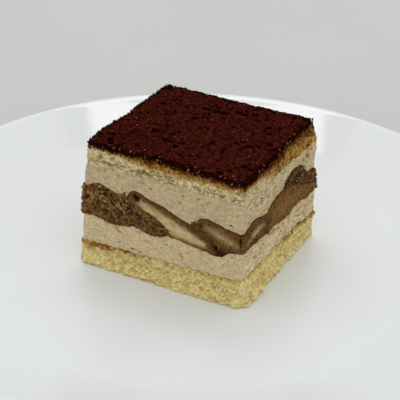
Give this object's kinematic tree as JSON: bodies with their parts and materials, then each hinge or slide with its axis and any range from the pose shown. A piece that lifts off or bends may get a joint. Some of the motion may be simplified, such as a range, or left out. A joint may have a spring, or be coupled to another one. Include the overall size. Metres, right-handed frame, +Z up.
{
  "type": "tiramisu slice",
  "caption": "Square-cut slice of layered tiramisu: sponge, coffee cream, soaked sponge fingers, cream, thin sponge and cocoa, standing on a white coupe plate.",
  "frame": {"origin": "middle of the plate's foot ring, on the table", "axes": "+Z up, -Y towards the slice's long cut face, +X towards its short cut face"},
  "size_m": [0.2748, 0.2748, 0.0661],
  "materials": {
    "porcelain": "gloss",
    "base_sponge": "matte",
    "cream": "satin",
    "soaked_sponge": "satin",
    "finger": "satin",
    "top_sponge": "matte",
    "cocoa": "matte"
  },
  "bodies": {
    "root": {"plate": "porcelain", "base_sponge": "base_sponge", "lower_cream": "cream", "soaked_sponge": "soaked_sponge", "long_finger": "finger", "corner_finger": "finger", "back_finger": "finger", "offcut": "soaked_sponge", "upper_cream": "cream", "top_sponge": "top_sponge", "cocoa": "cocoa"}
  },
  "joints": []
}
